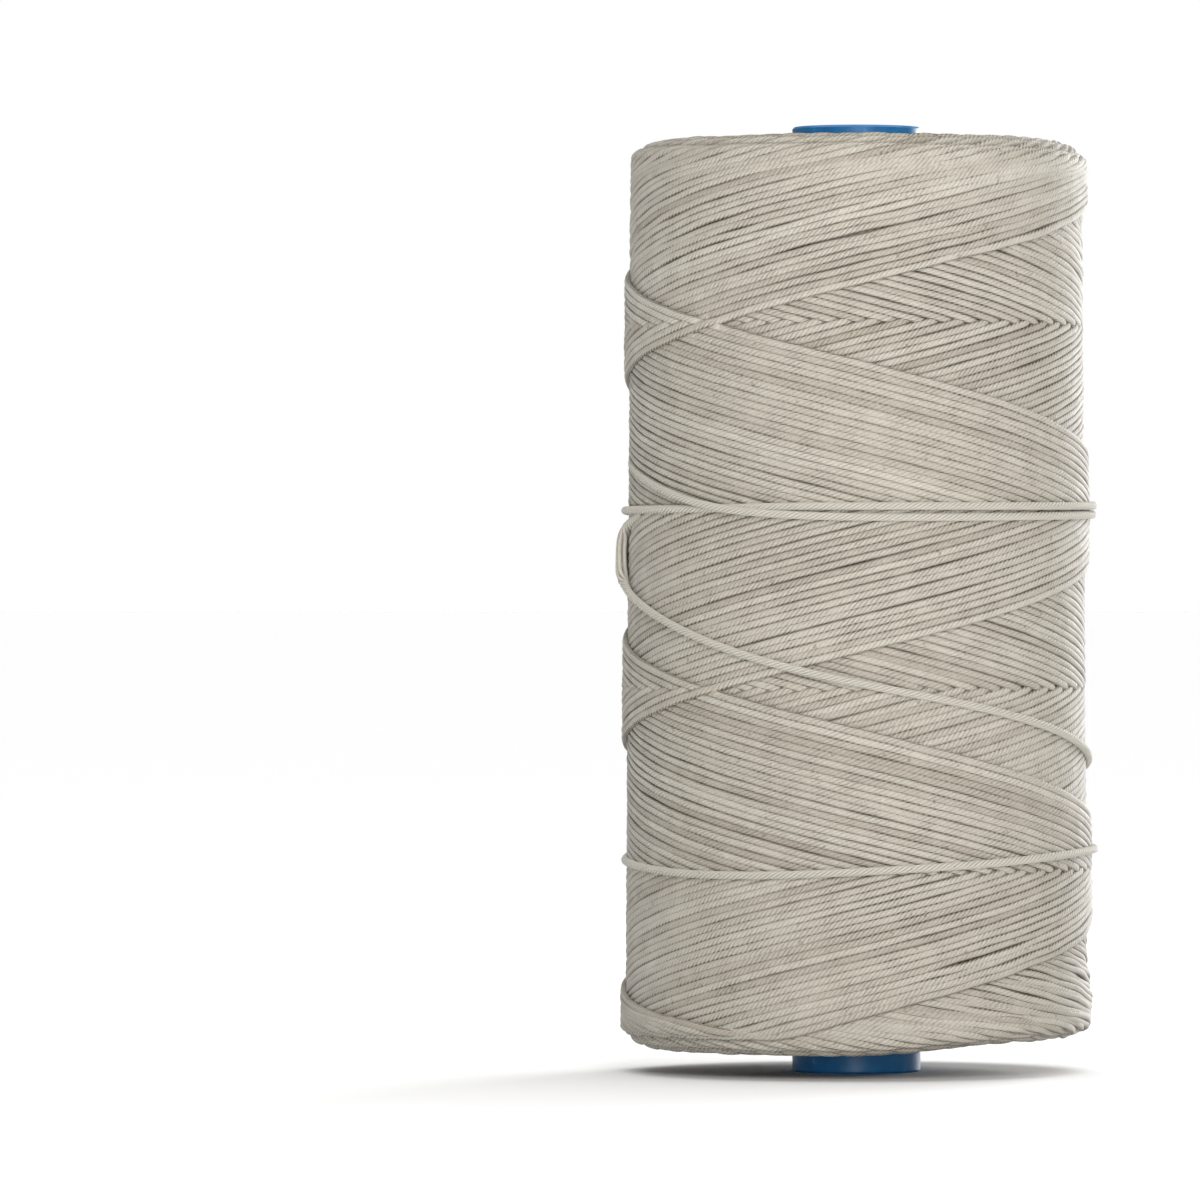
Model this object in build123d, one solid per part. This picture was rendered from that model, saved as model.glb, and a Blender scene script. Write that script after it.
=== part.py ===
from build123d import *
import math
import os

# A spool of thick twisted thread: a plain plastic core tube, the cross-wound
# package of thread on it, and the free stretches of the thread's outer end
# that are wrapped round the package. Millimetres, +Z up along the core's axis,
# origin at the centre of the core's lower rim. Angles run round the axis from
# the front (-Y) towards +X.

# Core tube
CORE_LENGTH = 184.0
CORE_OUTER_RADIUS = 12.5
CORE_WALL = 1.6
CORE_RIM_CHAMFER = 0.4

# Wound package, a little wider at its lower end
PACKAGE_BOTTOM = 4.7
PACKAGE_TOP = 181.1
PACKAGE_LOWER_RADIUS = 45.3
PACKAGE_UPPER_RADIUS = 44.1
SHOULDER_RADIUS = 6.4

# Thread, and how a free stretch of it lies on the package
THREAD_DIAMETER = 1.6
THREAD_CLEARANCE = 0.3
ROUTE_STEP = 30.0
FILLET_SHARE = 0.45

# Routes of the free stretches: (angle in degrees, height, extra lift off the package)
UPPER_TIE_ROUTE = [
    (-118, 124.6, 0.0), (-95, 120.3, 0.0), (-73, 116.0, 0.0), (-54, 112.2, 0.3),
    (-38, 109.5, 1.6), (-22, 108.2, 0.9), (-4, 107.6, 0.0), (22, 107.6, 0.0),
    (50, 108.0, 0.0), (78, 108.4, 0.0), (107, 108.7, 0.0), (136, 108.8, 0.0),
    (165, 108.9, 0.0), (194, 109.0, 0.0), (222, 109.1, 0.0), (250, 109.2, 0.0),
    (276, 109.3, 0.2), (300, 109.3, 0.0), (321, 109.4, -0.2), (341, 109.7, 0.0),
    (366, 109.8, 0.0), (394, 109.9, 0.0), (422, 110.2, 0.0), (450, 110.6, 0.0),
    (479, 110.9, 0.0), (508, 111.0, 0.0), (536, 110.9, 0.0),
]
THREAD_TAIL_ROUTE = [
    (-70, 106.8, -1.3), (-81.5, 105.6, -1.4), (-85.5, 101.8, -1.3), (-84.6, 97.0, -1.3),
    (-79.5, 93.9, -1.4), (-69, 91.2, -1.2), (-50, 86.4, -0.6), (-24, 79.9, 0.0),
    (5, 75.4, 0.0), (33, 71.2, 0.0), (60, 66.3, 0.0), (87, 61.2, 0.0),
    (113, 57.0, 0.0), (137, 52.2, -0.4), (154, 47.6, -0.8), (166, 43.0, -1.2),
    (175, 37.6, -1.4), (184, 32.4, -1.4),
]
LOWER_TIE_ROUTE = [
    (-150, 46.0, 0.0), (-126, 43.4, 0.0), (-101, 41.8, 0.0), (-75, 40.6, 0.0),
    (-48, 39.2, 0.0), (-22, 39.2, 0.0), (5, 40.3, 0.0), (33, 41.5, 0.0),
    (61, 43.0, 0.0), (90, 43.6, 0.0), (116, 43.0, 0.0), (139, 42.0, -0.6),
    (154, 41.4, -0.2), (165, 41.0, 1.1), (179, 40.5, 1.1), (190, 40.0, -0.2),
    (205, 39.4, -0.6), (223, 38.8, -0.6),
]


def package_radius(height):
    """Radius of the package's side at a height."""
    share = (height - PACKAGE_BOTTOM) / (PACKAGE_TOP - PACKAGE_BOTTOM)
    return PACKAGE_LOWER_RADIUS + share * (PACKAGE_UPPER_RADIUS - PACKAGE_LOWER_RADIUS)


def route_point(angle, height, lift):
    """A corner of a route whose arcs clear the package by THREAD_CLEARANCE when lift is 0."""
    line_radius = package_radius(height) + THREAD_DIAMETER / 2 + THREAD_CLEARANCE
    radius = line_radius / math.cos(math.radians(ROUTE_STEP / 2)) + lift
    turn = math.radians(angle)
    return Vector(radius * math.sin(turn), -radius * math.cos(turn), height)


def fillet_radii(points):
    """The largest arc that each corner's two runs leave room for."""
    radii = []
    for before, corner, after in zip(points, points[1:], points[2:]):
        shorter_run = min((corner - before).length, (after - corner).length)
        half_turn = math.radians((corner - before).get_angle(after - corner)) / 2
        radii.append(FILLET_SHARE * shorter_run / math.tan(half_turn))
    return radii


def core_tube():
    """Plain tube with a small chamfer on all four rim edges."""
    tube = Cylinder(CORE_OUTER_RADIUS, CORE_LENGTH, align=(Align.CENTER, Align.CENTER, Align.MIN))
    tube -= Cylinder(
        CORE_OUTER_RADIUS - CORE_WALL, CORE_LENGTH, align=(Align.CENTER, Align.CENTER, Align.MIN)
    )
    rims = tube.edges().filter_by(GeomType.CIRCLE)
    return chamfer(rims, CORE_RIM_CHAMFER)


def wound_thread():
    """Outer shape of the whole wound package, closed against the core tube."""
    outline = Polyline(
        (CORE_OUTER_RADIUS, PACKAGE_BOTTOM),
        (PACKAGE_LOWER_RADIUS, PACKAGE_BOTTOM),
        (PACKAGE_UPPER_RADIUS, PACKAGE_TOP),
        (CORE_OUTER_RADIUS, PACKAGE_TOP),
        close=True,
    )
    half_section = make_face(Plane.XZ * outline)
    outer_corners = half_section.vertices().sort_by(Axis.X)[-2:]
    half_section = fillet(outer_corners, SHOULDER_RADIUS)
    return revolve(half_section, Axis.Z)


def free_thread(name, route):
    """Plain tube along a free stretch: straight runs joined by tangent arcs."""
    points = [route_point(*step) for step in route]
    radii = fillet_radii(points)
    path = FilletPolyline(*points, radius=radii)
    section = Plane(origin=path @ 0, z_dir=path % 0) * Circle(THREAD_DIAMETER / 2)
    tube = sweep(section, path=path)
    expected = math.pi * (THREAD_DIAMETER / 2) ** 2 * path.length
    print(f"{name}: length {path.length:.1f}, arc radii {min(radii):.1f} to {max(radii):.1f},"
          f" volume {tube.volume:.1f} for section times length {expected:.1f}")
    return tube


PARTS = {
    "core_tube": core_tube(),
    "wound_thread": wound_thread(),
    "upper_tie_wrap": free_thread("upper_tie_wrap", UPPER_TIE_ROUTE),
    "thread_tail": free_thread("thread_tail", THREAD_TAIL_ROUTE),
    "lower_tie_wrap": free_thread("lower_tie_wrap", LOWER_TIE_ROUTE),
}

os.makedirs("parts", exist_ok=True)
for node, shape in PARTS.items():
    export_step(shape, f"parts/{node}.step")
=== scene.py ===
import math

import bpy
import numpy as np
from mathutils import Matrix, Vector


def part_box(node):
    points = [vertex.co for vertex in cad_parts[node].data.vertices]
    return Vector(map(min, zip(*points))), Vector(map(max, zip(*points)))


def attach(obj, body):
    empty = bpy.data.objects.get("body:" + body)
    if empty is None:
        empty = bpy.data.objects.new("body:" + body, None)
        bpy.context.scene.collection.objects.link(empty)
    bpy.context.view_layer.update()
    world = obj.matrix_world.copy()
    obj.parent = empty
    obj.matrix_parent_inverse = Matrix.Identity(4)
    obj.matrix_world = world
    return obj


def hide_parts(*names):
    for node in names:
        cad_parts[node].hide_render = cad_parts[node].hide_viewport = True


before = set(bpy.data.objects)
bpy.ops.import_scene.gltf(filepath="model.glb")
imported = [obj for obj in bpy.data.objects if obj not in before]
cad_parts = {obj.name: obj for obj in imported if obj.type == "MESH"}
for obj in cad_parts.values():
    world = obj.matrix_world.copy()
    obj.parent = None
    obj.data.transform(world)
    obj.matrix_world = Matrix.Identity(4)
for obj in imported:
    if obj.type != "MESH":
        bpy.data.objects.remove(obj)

# A spool of thick twisted thread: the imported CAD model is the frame, and this script adds the
# cross-wound strands, the free stretches of the thread's end, the materials, the light and the
# camera. Everything is in metres. Angles run round the axis from the front (-Y) towards +X.

MM = 0.001
TAU = 2 * math.pi
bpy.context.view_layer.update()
PACKAGE_LOW, PACKAGE_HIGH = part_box("wound_thread")
CORE_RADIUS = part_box("core_tube")[1][0]

# The package's outer shape
PACKAGE_BOTTOM = PACKAGE_LOW[2]
PACKAGE_TOP = PACKAGE_HIGH[2]
LOWER_RADIUS = 45.4 * MM
UPPER_RADIUS = 44.3 * MM
SHOULDER_RADIUS = 6.4 * MM

# The thread
THREAD_DIAMETER = 1.6 * MM
PLIES = 6
PLY_LAY = 6.6 * MM

# The winding: 49 double strokes of 2.5 turns up and 2.5 turns down cover the package once.
# Where a stroke runs is told by its pattern height, which rises from 0 at the lower turns by
# one band for each half turn. The pattern is a little shorter than the package and starts a
# little below it.
STROKES = 49
BANDS = 5
NEWEST_ANGLE = math.radians(-40)
STRAND_HALF_WIDTH = 0.79 * MM
STRAND_HALF_HEIGHT = 0.64 * MM
LAYER_STEP = 1.05 * MM
PATTERN_SHORTER = 0.4 * MM
PATTERN_BELOW = 0.3 * MM
BAND_HEIGHT = (PACKAGE_TOP - PACKAGE_BOTTOM - PATTERN_SHORTER) / BANDS
PATTERN_TOP = BANDS * BAND_HEIGHT
PATTERN_START = PACKAGE_BOTTOM - PATTERN_BELOW
ANGLE_PER_HEIGHT = math.pi / BAND_HEIGHT
MEAN_RADIUS = (LOWER_RADIUS + UPPER_RADIUS) / 2
RUN_PER_HEIGHT = math.hypot(1.0, MEAN_RADIUS * ANGLE_PER_HEIGHT)

# How the strokes turn back near the ends
LOWER_SHIFT = 1.1 * MM
UPPER_SHIFT = 0.4 * MM
LOWER_TWIST = math.radians(9.5)
TURN_ROUNDING = 1.6 * MM
TURN_FADE = 7.0 * MM
TURN_SKEW = 0.9 * MM
SKEW_REACH = 2.3 * MM

# The lower right-hand rim, which sits higher than the rest of it and bulges
RIM_RISE = 2.4 * MM
RIM_RISE_FADE = 10.0 * MM
RIM_RISE_SHIFT = 0.1
RIM_RISE_SPAN = 0.9
RIM_FLARE = 0.9 * MM
RIM_FLARE_HEIGHT = 13 * MM
RIM_FLARE_REACH = 6 * MM
RIM_FLARE_GAIN = 2
RIM_FLARE_SHIFT = 0.9

# Where the strands lie less evenly
UPPER_SLACK = 1.3
UPPER_SLACK_HEIGHT = 162 * MM
UPPER_SLACK_REACH = 8 * MM
LOWER_SLACK = 2.2
LOWER_SLACK_HEIGHT = 17 * MM
LOWER_SLACK_REACH = 11 * MM
LOWER_SLACK_GAIN = 1.6


# ---------------------------------------------------------------- the winding's surface

def smooth_step(x):
    x = np.clip(x, 0.0, 1.0)
    return x * x * (3 - 2 * x)


def bell(height, middle, reach):
    return np.exp(-((height - middle) / reach) ** 2)


def rim_rise(angle, height):
    """How much higher the package's lower end sits on its right-hand side."""
    share = smooth_step((np.sin(angle) + RIM_RISE_SHIFT) / RIM_RISE_SPAN)
    return RIM_RISE * share * np.exp(-np.maximum(height - PACKAGE_BOTTOM, 0) / RIM_RISE_FADE)


def slack(angle, height):
    """How much less evenly the strands lie than elsewhere: near the upper rim, and more so near
    the lower right-hand one."""
    upper = UPPER_SLACK * bell(height, UPPER_SLACK_HEIGHT, UPPER_SLACK_REACH)
    lower = LOWER_SLACK * bell(height, LOWER_SLACK_HEIGHT, LOWER_SLACK_REACH)
    return upper + lower * smooth_step(np.sin(angle) * LOWER_SLACK_GAIN)


def rim_flare(angle, height):
    """How far the package bulges just above its lower right-hand rim."""
    near = bell(height, RIM_FLARE_HEIGHT, RIM_FLARE_REACH)
    return RIM_FLARE * near * smooth_step(RIM_FLARE_GAIN * np.sin(angle) - RIM_FLARE_SHIFT)


def side_radius(height):
    """Radius of the package's side at a height, without its shoulders."""
    share = (height - PACKAGE_BOTTOM) / (PACKAGE_TOP - PACKAGE_BOTTOM)
    return LOWER_RADIUS + share * (UPPER_RADIUS - LOWER_RADIUS)


def build_up(age, partner_age):
    """How far the winding stands out of its mean side, from the ages of the two strokes there."""
    return LAYER_STEP * (1 - (age + partner_age) / TAU)


def pattern_to_height(pattern):
    """Height of a pattern height, with the strokes' ends drawn in a little from the rims."""
    low = np.clip(1 - pattern / BAND_HEIGHT, 0, 1)
    high = np.clip(pattern / BAND_HEIGHT - (BANDS - 1), 0, 1)
    return PATTERN_START + pattern + LOWER_SHIFT * low - UPPER_SHIFT * high


def pattern_twist(pattern):
    """How far round the lowest band's strokes are shifted."""
    return LOWER_TWIST * np.clip(1 - pattern / BAND_HEIGHT, 0, 1) ** 2


def surface_lift(angle, height, newest=NEWEST_ANGLE):
    """How far the winding stands out of its mean side at an angle and height."""
    pattern = np.clip(height - PATTERN_START, 0, PATTERN_TOP)
    pattern = np.clip(pattern - (pattern_to_height(pattern) - height), 0, PATTERN_TOP)
    turn = ANGLE_PER_HEIGHT * pattern
    bare = angle - pattern_twist(pattern)
    up_age = np.mod(newest - bare + turn, TAU)
    down_age = np.mod(newest - bare - turn, TAU)
    return build_up(up_age, down_age)


def turn_rise(before, age, vertex_height):
    """How much further from the package's end a stroke stays than its straight run would take
    it. before is how far it still has to go to the turn, or how far past it is if negative."""
    radius = SHOULDER_RADIUS - STRAND_HALF_HEIGHT - 2 * LAYER_STEP * age / TAU
    radius = max(0.0, radius)
    apex = SHOULDER_RADIUS - math.sqrt(SHOULDER_RADIUS**2 - radius**2) + STRAND_HALF_WIDTH
    share = before / SKEW_REACH
    skew = TURN_SKEW * share * np.exp(0.5 * (1 - share * share))
    rounding = np.hypot(before, TURN_ROUNDING) - np.abs(before)
    level = (apex - vertex_height - TURN_ROUNDING) * np.exp(-np.abs(before) / TURN_FADE)
    return rounding + level + skew


def shoulder_point(height, depth):
    """Radius and height of a point at a depth under the winding's outermost surface, rolled
    over the shoulder near either end."""
    upper = PACKAGE_TOP - SHOULDER_RADIUS
    lower = PACKAGE_BOTTOM + SHOULDER_RADIUS
    over = np.maximum(height - upper, 0) - np.maximum(lower - height, 0)
    slope = np.arcsin(np.clip(over / SHOULDER_RADIUS, -1, 1))
    flat_height = np.clip(height, lower, upper)
    arm = SHOULDER_RADIUS - depth
    radius = side_radius(flat_height) + LAYER_STEP - SHOULDER_RADIUS + arm * np.cos(slope)
    return radius, flat_height + arm * np.sin(slope)


# ---------------------------------------------------------------- strands as meshes

def add_object(name, data):
    made = bpy.data.objects.new(name, data)
    bpy.context.collection.objects.link(made)
    return made


def thread_piece(name, corners, faces, coords, tones_and_painted_shades, material):
    """A smooth object with the coordinates and the tone-and-shade values that the thread materials
    read: a random tone, and painted shade on some pieces.
    """
    mesh = bpy.data.meshes.new(name)
    mesh.from_pydata(corners.tolist(), [], faces)
    mesh.uv_layers.new(name="strand").data.foreach_set("uv", coords.ravel())
    mesh.attributes.new("tone_and_painted_shade", "FLOAT", "POINT").data.foreach_set("value", tones_and_painted_shades)
    mesh.shade_smooth()
    mesh.materials.append(material)
    return add_object(name, mesh)


def unit(vectors):
    return vectors / np.linalg.norm(vectors, axis=1, keepdims=True)


def cylinder_points(angle, radius, height):
    return np.stack([radius * np.sin(angle), -radius * np.cos(angle), height], axis=-1)


class StrandSet:
    """Many strands gathered into one mesh: closed oval tubes with their own length and girth
    coordinates for the thread material."""

    def __init__(self, sides):
        self.sides = sides
        self.corners, self.quads, self.caps = [], [], []
        self.coords, self.cap_coords, self.tones_and_painted_shades = [], [], []
        self.count = 0

    def add(self, centres, normals, half_width, half_height, tone_and_painted_shade, start=0.0):
        """One strand along centres, its height along normals."""
        rows = len(centres)
        tangent = unit(np.gradient(centres, axis=0))
        across = unit(np.cross(tangent, normals))
        upright = np.cross(across, tangent)
        steps = np.linalg.norm(np.diff(centres, axis=0), axis=1)
        along = start + np.concatenate([[0], np.cumsum(steps)])
        turn = np.arange(self.sides) * TAU / self.sides
        wide = np.broadcast_to(half_width, rows)[:, None, None]
        tall = np.broadcast_to(half_height, rows)[:, None, None]
        ring = (
            centres[:, None, :]
            + wide * np.cos(turn)[None, :, None] * across[:, None, :]
            + tall * np.sin(turn)[None, :, None] * upright[:, None, :]
        )
        self.corners.append(ring.reshape(-1, 3))
        row, side = np.meshgrid(np.arange(rows - 1), np.arange(self.sides), indexing="ij")
        after = (side + 1) % self.sides
        first = self.count
        quad = np.stack([
            first + row * self.sides + side,
            first + row * self.sides + after,
            first + (row + 1) * self.sides + after,
            first + (row + 1) * self.sides + side,
        ], axis=-1)
        self.quads.append(quad.reshape(-1, 4))
        girth = side / self.sides
        near, far = along[row], along[row + 1]
        step = 1 / self.sides
        coord = np.stack([near, girth, near, girth + step, far, girth + step, far, girth], axis=-1)
        self.coords.append(coord.reshape(-1, 2))
        self.caps.append(first + np.arange(self.sides)[::-1])
        self.caps.append(first + (rows - 1) * self.sides + np.arange(self.sides))
        for end in (along[0], along[-1]):
            self.cap_coords.append(np.full((self.sides, 2), end))
        self.tones_and_painted_shades.append(np.repeat(np.broadcast_to(tone_and_painted_shade, rows), self.sides))
        self.count += rows * self.sides

    def build(self, name, material):
        faces = np.concatenate(self.quads).tolist() + [cap.tolist() for cap in self.caps]
        return thread_piece(
            name, np.concatenate(self.corners), faces,
            np.concatenate(self.coords + self.cap_coords), np.concatenate(self.tones_and_painted_shades), material,
        )


# ---------------------------------------------------------------- materials

def node_material(name, roughness, specular):
    material = bpy.data.materials.new(name)
    material.use_nodes = True
    shader = material.node_tree.nodes["Principled BSDF"]
    shader.inputs["Roughness"].default_value = roughness
    shader.inputs["Specular IOR Level"].default_value = specular
    return material, material.node_tree.nodes, material.node_tree.links, shader


def math_node(nodes, links, operation, first, second=None, third=None):
    node = nodes.new("ShaderNodeMath")
    node.operation = operation
    for socket, value in zip(node.inputs, (first, second, third)):
        if value is None:
            continue
        if isinstance(value, (int, float)):
            socket.default_value = value
        else:
            links.new(value, socket)
    return node.outputs[0]


def noise_node(nodes, links, vector, scale, detail):
    node = nodes.new("ShaderNodeTexNoise")
    node.inputs["Scale"].default_value = scale
    node.inputs["Detail"].default_value = detail
    links.new(vector, node.inputs["Vector"])
    return node.outputs["Fac"]


def ramp_node(nodes, links, value, stops):
    """A colour ramp with these stops, each a position and a colour."""
    ramp = nodes.new("ShaderNodeValToRGB")
    elements = ramp.color_ramp.elements
    elements[0].position, elements[1].position = stops[0][0], stops[-1][0]
    for position, _ in stops[1:-1]:
        elements.new(position)
    for element, (_, colour) in zip(elements, stops):
        element.color = (*colour, 1)
    links.new(value, ramp.inputs[0])
    return ramp.outputs["Color"]


def add_bump(nodes, links, shader, relief, strength, distance):
    bump = nodes.new("ShaderNodeBump")
    bump.inputs["Strength"].default_value = strength
    bump.inputs["Distance"].default_value = distance
    links.new(relief, bump.inputs["Height"])
    links.new(bump.outputs[0], shader.inputs["Normal"])


# Thread: noises as their scale and detail, in cells for each metre
PATCHES = (110.0, 2.0)
FUZZ = (3200.0, 3.0)
FLECKS = (620.0, 1.0)
REGIONS = (22.0, 1.0)
UNEVENNESS = (260.0, 2.0)
FIBRES = (1.0, 2.0)
FIBRES_ROUND_GIRTH = 34.0
FIBRE_CELLS_ALONG = 900.0
THREAD_COLOURS = ((0.25, (0.342, 0.311, 0.262)), (0.75, (0.512, 0.491, 0.435)))
# How much more steeply each channel falls with the painted shade and flecks, which turns them
# browner
BROWNING = (("Red", 1.0), ("Green", 1.1), ("Blue", 1.28))
FLECK_LEVEL = 0.74
DARKEST = 0.1
THREAD_BUMP = 0.21 * MM


def thread_material(name, ribbed):
    """Natural twisted cotton with a trace of wax. A ribbed one draws the plies' helix, and one
    that isn't is for plies that are modelled. Both have painted shade in their colour where
    strands or plies meet."""
    material, nodes, links, shader = node_material(name, 0.7, 0.3)

    def calc(operation, *values):
        return math_node(nodes, links, operation, *values)

    coords = nodes.new("ShaderNodeUVMap")
    coords.uv_map = "strand"
    split = nodes.new("ShaderNodeSeparateXYZ")
    links.new(coords.outputs[0], split.inputs[0])
    along, girth = split.outputs["X"], split.outputs["Y"]
    place = nodes.new("ShaderNodeTexCoord").outputs["Object"]
    patches = noise_node(nodes, links, place, *PATCHES)
    fuzz = noise_node(nodes, links, place, *FUZZ)
    flecks = noise_node(nodes, links, place, *FLECKS)
    tone_and_painted_shade = nodes.new("ShaderNodeAttribute")
    tone_and_painted_shade.attribute_name = "tone_and_painted_shade"

    # Fibres run along the plies, so their noise is stretched along the twist
    turned = calc("SUBTRACT", girth, calc("DIVIDE", along, PLY_LAY))
    stretched = nodes.new("ShaderNodeCombineXYZ")
    links.new(calc("MULTIPLY", turned, FIBRES_ROUND_GIRTH), stretched.inputs["X"])
    links.new(calc("MULTIPLY", along, FIBRE_CELLS_ALONG), stretched.inputs["Y"])
    fibres = noise_node(nodes, links, stretched.outputs[0], *FIBRES)

    # The tone-and-shade value moves the colour along the ramp: a random tone for each strand, a
    # paler tone for the plies, and painted shade for the winding's body and the opened stretch's
    # rear plies.
    mixed = calc("MULTIPLY_ADD", patches, 0.2, tone_and_painted_shade.outputs["Fac"])
    mixed = calc("MULTIPLY_ADD", fuzz, 0.42, mixed)
    mixed = calc("MULTIPLY_ADD", fibres, 0.38, mixed)
    colour = ramp_node(nodes, links, mixed, THREAD_COLOURS)

    # Dark flecks darken the colour, and so does a value below 0 in the tone-and-shade channel: a
    # darker random tone on some strands, and painted shade on the winding's body and on the rear
    # plies of the opened stretch.
    shade = calc("MULTIPLY_ADD", calc("GREATER_THAN", flecks, FLECK_LEVEL), -0.22, 1.0)
    darker_tone_and_painted_shade = calc("MINIMUM", tone_and_painted_shade.outputs["Fac"], 0.0)
    shade = calc("MULTIPLY_ADD", darker_tone_and_painted_shade, 0.6, shade)
    relief = calc("MULTIPLY_ADD", fuzz, 0.22, calc("MULTIPLY", fibres, 0.3))

    # The flank is 0 on a strand's crown and foot, and 1 where it meets its neighbours
    crown = calc("ABSOLUTE", calc("SINE", calc("MULTIPLY", girth, TAU)))
    flank = calc("SUBTRACT", 1.0, crown)
    # Painted shade: ribbed strands get a dark seam painted where they meet their neighbours, and
    # dark dashes painted in the valleys between plies, stronger in some regions than in others.
    # The same rib wear noise also sets how deep the rib bump is.
    if ribbed:
        wobble = calc("MULTIPLY_ADD", fuzz, 1.1, calc("MULTIPLY", turned, PLIES * math.pi))
        ply = calc("ABSOLUTE", calc("COSINE", wobble))
        valley = calc("POWER", calc("SUBTRACT", 1.0, ply), 1.15)
        uneven = noise_node(nodes, links, place, *UNEVENNESS)
        rib_wear_and_painted_shade = calc("MULTIPLY_ADD", uneven, 1.4, -0.05)
        regions = noise_node(nodes, links, place, *REGIONS)
        regions = calc("MULTIPLY_ADD", regions, 2.6, -0.3)
        seam = calc("MULTIPLY_ADD", flank, 3.4, -0.6)
        seam = calc("MINIMUM", calc("MAXIMUM", seam, 0.0), 1.0)
        seam = calc("MULTIPLY", seam, regions)
        painted_crease_shade = calc("MULTIPLY_ADD", seam, 0.85, 0.3)
        painted_crease_shade = calc("MULTIPLY", calc("MULTIPLY", painted_crease_shade, valley), rib_wear_and_painted_shade)
        painted_crease_shade = calc("MULTIPLY_ADD", seam, 0.22, painted_crease_shade)
        shade = calc("SUBTRACT", shade, painted_crease_shade)
        relief = calc("MULTIPLY_ADD", calc("MULTIPLY", ply, rib_wear_and_painted_shade), 0.8, relief)
    else:
        # Painted shade where each ply meets its neighbours
        seam = calc("MINIMUM", calc("MULTIPLY", flank, 2.0), 1.0)
        shade = calc("MULTIPLY_ADD", seam, -0.22, shade)
    shade = calc("MAXIMUM", shade, DARKEST)

    # Painted shade and flecks turn browner as they darken
    brown = nodes.new("ShaderNodeCombineColor")
    for channel, depth in BROWNING:
        links.new(calc("POWER", shade, depth), brown.inputs[channel])
    groove = nodes.new("ShaderNodeMix")
    groove.data_type = "RGBA"
    groove.blend_type = "MULTIPLY"
    groove.inputs["Factor"].default_value = 1.0
    links.new(colour, groove.inputs[6])
    links.new(brown.outputs[0], groove.inputs[7])
    links.new(groove.outputs[2], shader.inputs["Base Color"])

    add_bump(nodes, links, shader, relief, 1.0, THREAD_BUMP)
    shader.inputs["Sheen Weight"].default_value = 0.2
    shader.inputs["Sheen Roughness"].default_value = 0.5
    return material


SCUFFS = (400.0, 4.0)
CORE_COLOURS = (
    (0.3, (0.008, 0.120, 0.32)), (0.62, (0.012, 0.155, 0.39)), (0.74, (0.10, 0.29, 0.52)),
)
CORE_BUMP = 0.05 * MM


def core_material():
    """Blue moulded plastic, slightly scuffed."""
    material, nodes, links, shader = node_material("core_blue_plastic", 0.38, 0.35)
    place = nodes.new("ShaderNodeTexCoord").outputs["Object"]
    scuffs = noise_node(nodes, links, place, *SCUFFS)
    links.new(ramp_node(nodes, links, scuffs, CORE_COLOURS), shader.inputs["Base Color"])
    rough = math_node(nodes, links, "MULTIPLY_ADD", scuffs, 0.25, 0.28)
    links.new(rough, shader.inputs["Roughness"])
    add_bump(nodes, links, shader, scuffs, 0.25, CORE_BUMP)
    return material


# Floor: stops at distances in metres from the spool's foot
FLOOR_COLOURS = ((0.15, (0.8, 0.8, 0.8)), (0.9, (0.99, 0.99, 0.99)))


def floor_material():
    """White paper that turns a little paler away from the spool."""
    material, nodes, links, shader = node_material("pale_floor", 0.8, 0.2)
    distance = nodes.new("ShaderNodeVectorMath")
    distance.operation = "LENGTH"
    links.new(nodes.new("ShaderNodeTexCoord").outputs["Object"], distance.inputs[0])
    colour = ramp_node(nodes, links, distance.outputs["Value"], FLOOR_COLOURS)
    links.new(colour, shader.inputs["Base Color"])
    return material


THREAD = thread_material("thread_cotton", True)
PLY = thread_material("thread_ply", False)
CORE = core_material()


# ---------------------------------------------------------------- camera and light

CAMERA_DISTANCE = 1.947
CAMERA_HEIGHT = 91.85 * MM
OBJECT_OFFSET = 50.0 * MM
VIEW_WIDTH = 234.0 * MM
SENSOR_WIDTH = 36.0
NEAREST_SEEN = 0.1
FURTHEST_SEEN = 200.0


def make_camera():
    data = bpy.data.cameras.new("camera")
    data.sensor_width = SENSOR_WIDTH
    data.lens = SENSOR_WIDTH * CAMERA_DISTANCE / VIEW_WIDTH
    data.clip_start = NEAREST_SEEN
    data.clip_end = FURTHEST_SEEN
    camera = add_object("camera", data)
    camera.location = (-OBJECT_OFFSET, -CAMERA_DISTANCE, CAMERA_HEIGHT)
    camera.rotation_euler = (math.radians(90), 0, 0)
    bpy.context.scene.camera = camera


def area_light(name, place, target, size, power, colour):
    data = bpy.data.lights.new(name, "AREA")
    data.shape = "SQUARE"
    data.size = size
    data.energy = power
    data.color = colour
    light = add_object(name, data)
    light.location = place
    aim = np.array(target) - np.array(place)
    flat = math.hypot(aim[0], aim[1])
    light.rotation_euler = (
        math.pi / 2 + math.atan2(aim[2], flat), 0, math.atan2(aim[1], aim[0]) - math.pi / 2
    )


SKY_STRENGTH = 0.26
SKY_SIDEWAYS = 0.12


def make_world():
    """White to the camera, and a dim light that is a little stronger from the right."""
    world = bpy.data.worlds.new("studio")
    world.use_nodes = True
    nodes, links = world.node_tree.nodes, world.node_tree.links
    background = nodes["Background"]
    background.inputs["Color"].default_value = (1, 1, 1, 1)
    split = nodes.new("ShaderNodeSeparateXYZ")
    links.new(nodes.new("ShaderNodeTexCoord").outputs["Generated"], split.inputs[0])
    side = math_node(nodes, links, "MULTIPLY_ADD", split.outputs["X"], SKY_SIDEWAYS, SKY_STRENGTH)
    seen = nodes.new("ShaderNodeLightPath").outputs["Is Camera Ray"]
    links.new(math_node(nodes, links, "MAXIMUM", side, seen), background.inputs["Strength"])
    bpy.context.scene.world = world
    bpy.context.scene.view_settings.view_transform = "Standard"


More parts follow.
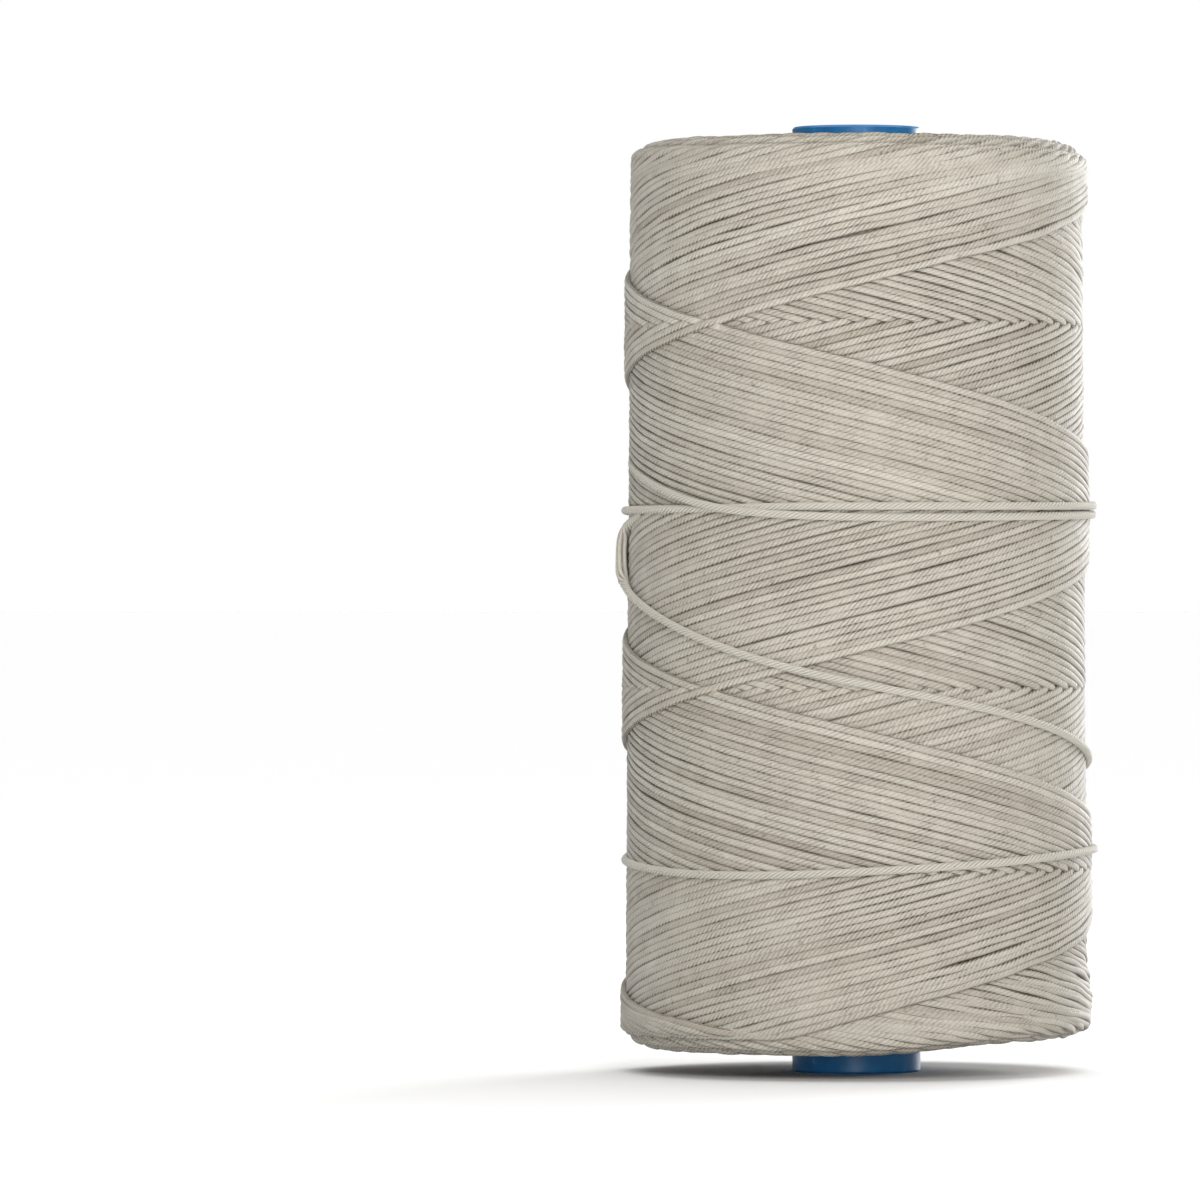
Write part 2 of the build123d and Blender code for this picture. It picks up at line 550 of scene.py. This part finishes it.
SPOOL_MIDDLE = (0, 0, 0.09)
SPOOL_FOOT = (0, 0, 0.02)
OVERHEAD_POWER = 2.5
OVERHEAD_SPREAD = math.radians(70)
OVERHEAD_TILT = (math.radians(-14), math.radians(2), 0)


def make_lights():
    area_light(
        "key", place=(0.12, -1.25, 0.55), target=SPOOL_MIDDLE, size=0.55, power=10.8,
        colour=(1.0, 0.985, 0.96),
    )
    area_light(
        "low", place=(-0.05, -0.9, 0.035), target=SPOOL_FOOT, size=0.14, power=2.2,
        colour=(1.0, 0.99, 0.97),
    )
    area_light(
        "rim", place=(0.46, 0.78, 0.2), target=SPOOL_MIDDLE, size=0.35, power=9,
        colour=(0.97, 0.98, 1.0),
    )
    data = bpy.data.lights.new("overhead", "SUN")
    data.energy = OVERHEAD_POWER
    data.angle = OVERHEAD_SPREAD
    add_object("overhead", data).rotation_euler = OVERHEAD_TILT


FLOOR_SIDES = 96
FLOOR_RINGS = 6
FLOOR_FIRST_RING = 0.3
FLOOR_RING_GROWTH = 3.0


def make_floor():
    """A round floor whose rings grow wider outwards."""
    corners, faces = [(0, 0, 0)], []
    for ring in range(FLOOR_RINGS):
        radius = FLOOR_FIRST_RING * FLOOR_RING_GROWTH**ring
        for side in range(FLOOR_SIDES):
            turn = TAU * side / FLOOR_SIDES
            corners.append((radius * math.cos(turn), radius * math.sin(turn), 0))
    for side in range(FLOOR_SIDES):
        after = (side + 1) % FLOOR_SIDES
        faces.append((0, 1 + side, 1 + after))
        for ring in range(FLOOR_RINGS - 1):
            inner, outer = 1 + ring * FLOOR_SIDES, 1 + (ring + 1) * FLOOR_SIDES
            faces.append((inner + side, outer + side, outer + after, inner + after))
    mesh = bpy.data.meshes.new("floor")
    mesh.from_pydata(corners, [], faces)
    mesh.materials.append(floor_material())
    floor = add_object("floor", mesh)


make_camera()
make_world()
make_lights()
make_floor()


# ---------------------------------------------------------------- free stretches of the thread

# Routes: angle in degrees round from the front, and height and lift off the winding in
# millimetres
UPPER_TIE_ROUTE = [
    (-118, 124.6, -1.3), (-95, 120.3, -1.2), (-73, 116.0, -0.9), (-54, 112.2, -0.2),
    (-38, 109.5, 1.0), (-22, 108.2, 0.3), (-4, 107.65, 0.0), (22, 107.65, 0.0),
    (50, 108.0, 0.0), (78, 108.4, 0.0), (107, 108.7, 0.0), (136, 108.8, 0.0),
    (165, 108.9, 0.0), (194, 109.0, 0.0), (222, 109.1, 0.0), (250, 109.2, 0.0),
    (276, 109.3, 0.2), (300, 109.3, 0.0), (321, 109.35, -0.5), (341, 109.7, -0.1),
    (366, 109.75, 0.0), (394, 109.8, 0.0), (422, 110.0, 0.0), (450, 110.25, 0.2),
    (479, 110.6, 0.0), (508, 110.8, -0.2), (536, 110.9, -1.3),
]
THREAD_TAIL_ROUTE = [
    (-71, 108.6, -0.9), (-79, 107.2, 0.0), (-86, 104.0, 0.55), (-88.5, 100.3, 0.65),
    (-87, 97.0, 0.7), (-81.5, 94.3, 0.5), (-71, 91.6, 0.05), (-56, 87.8, 0.0),
    (-38, 83.2, 0.0), (-18, 78.8, 0.0), (5, 75.0, 0.0), (33, 71.0, 0.0), (60, 66.3, 0.0),
    (87, 61.2, 0.0), (113, 57.0, 0.0), (137, 52.2, 0.0), (154, 47.6, 0.0),
    (166, 43.0, -0.2), (175, 37.6, -0.2), (184, 32.4, -0.2),
]
LOWER_TIE_ROUTE = [
    (-150, 46.0, -1.3), (-126, 43.4, -0.9), (-101, 41.8, -0.4), (-75, 40.6, -0.2),
    (-48, 39.2, 0.0), (-22, 39.2, 0.0), (5, 40.3, 0.0), (33, 41.5, 0.0),
    (61, 43.0, 0.0), (90, 43.6, 0.0), (116, 43.0, 0.0), (139, 42.0, 0.0),
    (154, 41.4, 0.5), (165, 41.0, 1.6), (179, 40.5, 1.6), (190, 40.0, 0.5),
    (205, 39.4, -0.4), (223, 38.8, -1.3),
]
PRESSED_IN = 0.35 * MM
LINE_POINTS_PER_CONTROL = 24
PLY_RADIUS = 0.29 * MM
PLY_OFFSET = 0.51 * MM
PLY_SIDES = 8
PLY_TINT = 0.28
PLY_COORDS_APART = 0.3
FIRST_PLY = 0.25
CORD_STEP = 0.4 * MM

# How the plies of an opened stretch spread, thicken and untwist, and how much painted shade the
# rear plies get for the shadowed hollow behind them
OPENING = 0.75
FLUFFING = 0.5
UNTWISTING = 0.95
OPENING_RISE = 2.5
OPENING_FALL = 3.5
PAINTED_SHADE_PLIES = (4, 5)
PLY_PAINTED_SHADE = 1.2


NEARBY = np.radians(np.linspace(-6, 6, 7))


def route_point(angle, height, lift, half_step):
    """A control point of a free stretch that lies on the winding when lift is 0, with the next
    points half_step * 2 degrees away."""
    angle = math.radians(angle)
    height *= MM
    nearby = angle + NEARBY
    standing = float(np.max(surface_lift(nearby, height)))
    radius = side_radius(height) + standing + THREAD_DIAMETER / 2 - PRESSED_IN
    radius = radius / math.cos(math.radians(half_step)) + lift * MM
    return (radius * math.sin(angle), -radius * math.cos(angle), height)


def control_points(route):
    angles = [step[0] for step in route]
    points = []
    for number, step in enumerate(route):
        before = angles[max(number - 1, 0)]
        after = angles[min(number + 1, len(route) - 1)]
        points.append(route_point(*step, abs(after - before) / 4))
    return points


def smooth_line(points):
    """The NURBS line with these control points, as an array of points along it."""
    curve = bpy.data.curves.new("route", "CURVE")
    curve.dimensions = "3D"
    curve.resolution_u = LINE_POINTS_PER_CONTROL
    spline = curve.splines.new("NURBS")
    spline.points.add(len(points) - 1)
    for control, point in zip(spline.points, points):
        control.co = (*point, 1.0)
    spline.order_u = 3
    spline.use_endpoint_u = True
    holder = add_object("route", curve)
    mesh = bpy.data.meshes.new_from_object(holder)
    line = np.array([vertex.co[:] for vertex in mesh.vertices])
    bpy.data.objects.remove(holder)
    bpy.data.meshes.remove(mesh)
    bpy.data.curves.remove(curve)
    return line


def evenly(line, step):
    """The same line with points a step apart."""
    along = np.concatenate([[0], np.cumsum(np.linalg.norm(np.diff(line, axis=0), axis=1))])
    count = max(2, int(round(along[-1] / step)) + 1)
    wanted = np.linspace(0, along[-1], count)
    return np.stack([np.interp(wanted, along, line[:, axis]) for axis in range(3)], axis=-1)


def plied_thread(name, line, opened):
    """The thread's plies laid round a line. opened is the stretch, if any, along which they
    have come untwisted, as its two distances from the line's start."""
    line = evenly(line, CORD_STEP)
    along = np.arange(len(line)) * CORD_STEP
    tangent = unit(np.gradient(line, axis=0))
    across = unit(np.cross(tangent, line * np.array([1, 1, 0])))
    upright = np.cross(across, tangent)
    loose = np.zeros_like(along)
    if opened:
        share = np.clip((along - opened[0]) / (opened[1] - opened[0]), 0, 1)
        loose = smooth_step(OPENING_RISE * share) * smooth_step(OPENING_FALL * (1 - share))
    rate = TAU / PLY_LAY * (1 - UNTWISTING * loose)
    turn = np.concatenate([[0], np.cumsum((rate[1:] + rate[:-1]) / 2 * CORD_STEP)])
    turn -= turn[np.argmax(loose)]
    plies = StrandSet(PLY_SIDES)
    for ply in range(PLIES):
        angle = turn + TAU * (ply + FIRST_PLY) / PLIES
        spread = PLY_OFFSET * (1 + OPENING * loose)
        away = np.cos(angle)[:, None] * across + np.sin(angle)[:, None] * upright
        radius = PLY_RADIUS * (1 + FLUFFING * loose)
        # Painted shade: the rear plies of the opened stretch are darkened for the shadow in the
        # hollow behind them
        tone_and_painted_shade = PLY_TINT - (PLY_PAINTED_SHADE * loose if ply in PAINTED_SHADE_PLIES else 0.0)
        centres = line + spread[:, None] * away
        plies.add(centres, away, radius, radius, tone_and_painted_shade, PLY_COORDS_APART * ply)
    return plies.build(name, PLY), line


def free_thread(name, node, route, opened=None):
    piece, path = plied_thread(name, smooth_line(control_points(route)), opened)
    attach(piece, "root")
    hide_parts(node)


free_thread("upper_tie_thread", "upper_tie_wrap", UPPER_TIE_ROUTE)
free_thread("tail_thread", "thread_tail", THREAD_TAIL_ROUTE, (5 * MM, 26 * MM))
free_thread("lower_tie_thread", "lower_tie_wrap", LOWER_TIE_ROUTE)


# ---------------------------------------------------------------- the winding's strands

STRAND_STEP = 1.3 * MM
HIDDEN_RUN = 5.0 * MM
CROSSING_RUN = 1.5 * MM
RIM_OVERRUN = 9.0 * MM
RIM_RUN = 16.0 * MM
RIM_LAYERS = 2
STRAND_SIDES = 12
FEWEST_POINTS = 4
WINDING_SEED = 7

# How strands stray from their even places: a constant part, and waves as length and size
DEPTH_SPREAD = 0.03 * MM
DEPTH_WAVES = ((31 * MM, 0.04 * MM), (13 * MM, 0.03 * MM))
SIDE_SPREAD = 0.035 * MM
SIDE_WAVES = ((90 * MM, 0.05 * MM), (37 * MM, 0.045 * MM), (14 * MM, 0.03 * MM))
TINT_SPREAD = 0.06
WIDTH_SPREAD = 0.03

# How wide strands are pressed, which swings between regions of the winding
PRESSED_MEAN = 1.01
PRESSED_SWING = 0.06
PRESSED_HEIGHT = 9 * MM


def stray(random, along, spread, waves):
    """A smooth offset along a strand."""
    steady = random.normal(0, spread)
    wander = np.zeros_like(along)
    for length, size in waves:
        wander += size * np.sin(TAU * along / length + random.uniform(0, TAU))
    return steady + wander


def stroke_place(pattern, rising, age):
    """Angle and height along a stroke, from a pattern height that runs on past its turn."""
    direction = 1 if rising else -1
    if pattern.mean() > PATTERN_TOP / 2:
        past = PATTERN_TOP - pattern
        folded = PATTERN_TOP - np.abs(past)
        vertex = PACKAGE_TOP - pattern_to_height(PATTERN_TOP)
        height = pattern_to_height(folded) - turn_rise(direction * past, age, vertex)
    else:
        folded = np.abs(pattern)
        vertex = pattern_to_height(0.0) - PACKAGE_BOTTOM
        height = pattern_to_height(folded) + turn_rise(-direction * pattern, age, vertex)
    angle = NEWEST_ANGLE - age + direction * ANGLE_PER_HEIGHT * pattern + pattern_twist(folded)
    return angle, height + rim_rise(angle, height)


def wound_strand(strands, random, band, rising, number, layer=0):
    """The stretch of one stroke that lies on top within one band, with both ends tucked under.
    A stroke of an older layer shows only at its turn."""
    age = TAU * (layer + (number + (0.0 if rising else 0.5)) / STROKES)
    at_rim = (rising and band == BANDS - 1) or (not rising and band == 0)
    start = age / (2 * ANGLE_PER_HEIGHT) - HIDDEN_RUN / RUN_PER_HEIGHT
    if layer:
        start = BAND_HEIGHT - RIM_RUN / RUN_PER_HEIGHT
    end = BAND_HEIGHT + (RIM_OVERRUN if at_rim else HIDDEN_RUN) / RUN_PER_HEIGHT
    count = max(FEWEST_POINTS, int((end - start) * RUN_PER_HEIGHT / STRAND_STEP) + 1)
    climb = np.linspace(start, end, count)
    foot = (band if rising else band + 1) * BAND_HEIGHT
    angle, height = stroke_place(foot + (climb if rising else -climb), rising, age)
    partner_age = age if layer else age + TAU - 2 * ANGLE_PER_HEIGHT * climb
    crossing = CROSSING_RUN * (2 if at_rim else 1) / RUN_PER_HEIGHT
    under = smooth_step((climb - BAND_HEIGHT + crossing) / (2 * crossing))
    along = climb * RUN_PER_HEIGHT
    depth = STRAND_HALF_HEIGHT - build_up(age, partner_age) + LAYER_STEP * under
    loose = 1 + slack(angle, height)
    depth += loose * stray(random, along, DEPTH_SPREAD, DEPTH_WAVES)
    sideways = loose * stray(random, along, SIDE_SPREAD, SIDE_WAVES)
    radius = side_radius(height) + rim_flare(angle, height) - depth
    centres = cylinder_points(angle, radius, height)
    normals = cylinder_points(angle, np.ones_like(angle), np.zeros_like(angle))
    tangent = unit(np.gradient(centres, axis=0))
    centres = centres + sideways[:, None] * np.cross(tangent, normals)
    pressed = PRESSED_MEAN + PRESSED_SWING * np.sin(2 * angle + height / PRESSED_HEIGHT)
    width = STRAND_HALF_WIDTH * pressed * random.uniform(1 - WIDTH_SPREAD, 1 + WIDTH_SPREAD)
    tone_and_painted_shade = random.normal(0, TINT_SPREAD)
    strands.add(centres, normals, width, STRAND_HALF_HEIGHT, tone_and_painted_shade, random.uniform(0, 1))


def finish_piece(piece):
    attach(piece, "root")
    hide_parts("wound_thread")


def winding_bands():
    random = np.random.default_rng(WINDING_SEED)
    for band in range(BANDS):
        strands = StrandSet(STRAND_SIDES)
        for number in range(STROKES):
            for rising in (True, False):
                wound_strand(strands, random, band, rising, number)
        finish_piece(strands.build(f"winding_band_{band + 1}", THREAD))
    for name, band, rising in (("lower_turns", 0, False), ("upper_turns", BANDS - 1, True)):
        strands = StrandSet(STRAND_SIDES)
        for layer in range(1, RIM_LAYERS + 1):
            for number in range(STROKES):
                wound_strand(strands, random, band, rising, number, layer)
        finish_piece(strands.build(name, THREAD))


END_PITCH = 1.2 * MM
END_ARC = 7.0 * MM
END_ARC_POINTS = 11
END_ARC_SPACING = 5.8 * MM
END_ARC_JITTER = 0.15
FEWEST_ARCS = 8
END_OVERRUN = 0.4 * MM
END_UNEVENNESS = 0.35
END_SIDES = 8
END_RISE_START = 0.4
END_SEEDS = {"upper_end_turns": 11, "lower_end_turns": 12}


def end_turns(name, upper):
    """The turns that show on an end face: rings of short arcs, each laid over the one before."""
    random = np.random.default_rng(END_SEEDS[name])
    strands = StrandSet(END_SIDES)
    face = PACKAGE_TOP if upper else PACKAGE_BOTTOM
    out = 1 if upper else -1
    edge = side_radius(face) + LAYER_STEP - SHOULDER_RADIUS
    radius = CORE_RADIUS + STRAND_HALF_WIDTH
    slope = PATTERN_TOP / (BANDS * math.pi * MEAN_RADIUS)
    along = np.linspace(-END_ARC, END_ARC, END_ARC_POINTS)
    normals = np.tile([0.0, 0.0, float(out)], (len(along), 1))
    drop = np.hypot(along * slope, TURN_ROUNDING) - TURN_ROUNDING
    inward = np.clip(LAYER_STEP / 2 * along / (END_ARC / 2), -LAYER_STEP / 2, LAYER_STEP / 2)
    while radius < edge + END_OVERRUN:
        arcs = max(FEWEST_ARCS, round(TAU * radius / END_ARC_SPACING))
        first = random.uniform(0, TAU)
        for arc in range(arcs):
            jitter = random.uniform(-END_ARC_JITTER, END_ARC_JITTER)
            angle = first + TAU * (arc + jitter) / arcs + along / radius
            sunk = random.uniform(0, END_UNEVENNESS) * MM
            level = face - out * (STRAND_HALF_HEIGHT + drop + sunk)
            distance = radius - inward
            if not upper:
                share = (distance / edge - END_RISE_START) / (1 - END_RISE_START)
                level = level + rim_rise(angle, face) * smooth_step(share)
            strands.add(
                cylinder_points(angle, distance, level), normals, STRAND_HALF_HEIGHT,
                STRAND_HALF_WIDTH, random.normal(0, TINT_SPREAD), random.uniform(0, 1),
            )
        radius += END_PITCH
    finish_piece(strands.build(name, THREAD))


BODY_DEPTH = 1.15 * MM
BODY_FACE_DEPTH = 1.5 * MM
BODY_END_GAP = 1.0 * MM
BODY_CORE_GAP = 0.05 * MM
BODY_SIDES = 240
BODY_ROWS = 150
BODY_ROWS_PER_GIRTH = 8
# Painted shade for the body, which shows only in the shadowed gaps between strands
BODY_PAINTED_SHADE = -0.45


def winding_body():
    """The older layers under the strands that show: one closed skin just under them, painted dark
    as the shade that shows in the gaps between strands.
    """
    newest = NEWEST_ANGLE - TAU / STROKES
    angle = np.arange(BODY_SIDES) * TAU / BODY_SIDES
    rows = []
    lowest, highest = PACKAGE_BOTTOM + BODY_END_GAP, PACKAGE_TOP - BODY_END_GAP
    for height in np.linspace(lowest, highest, BODY_ROWS):
        depth = BODY_DEPTH + LAYER_STEP - surface_lift(angle, height, newest)
        radius, level = shoulder_point(np.full(BODY_SIDES, height), depth)
        rows.append(cylinder_points(angle, radius, level + rim_rise(angle, level)))
    low, high = PACKAGE_BOTTOM + BODY_FACE_DEPTH, PACKAGE_TOP - BODY_FACE_DEPTH
    rows[0][:, 2] = low + rim_rise(angle, PACKAGE_BOTTOM)
    rows[-1][:, 2] = high
    inner = np.full(BODY_SIDES, CORE_RADIUS + BODY_CORE_GAP)
    rows.insert(0, cylinder_points(angle, inner, np.full(BODY_SIDES, low)))
    rows.append(cylinder_points(angle, inner, np.full(BODY_SIDES, high)))
    count = len(rows)
    row, side = np.meshgrid(np.arange(count), np.arange(BODY_SIDES), indexing="ij")
    above, after = (row + 1) % count, (side + 1) % BODY_SIDES
    quads = np.stack([
        row * BODY_SIDES + side,
        row * BODY_SIDES + after,
        above * BODY_SIDES + after,
        above * BODY_SIDES + side,
    ], axis=-1).reshape(-1, 4)
    near, far = side * MM, (side + 1) * MM
    below, beyond = row / BODY_ROWS_PER_GIRTH, (row + 1) / BODY_ROWS_PER_GIRTH
    coords = np.stack([near, below, far, below, far, beyond, near, beyond], axis=-1)
    tones_and_painted_shades = np.full(count * BODY_SIDES, BODY_PAINTED_SHADE)
    finish_piece(thread_piece(
        "winding_body", np.concatenate(rows), quads.tolist(), coords, tones_and_painted_shades, THREAD,
    ))


winding_bands()
end_turns("upper_end_turns", True)
end_turns("lower_end_turns", False)
winding_body()

core_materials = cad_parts["core_tube"].data.materials
core_materials.clear()
core_materials.append(CORE)
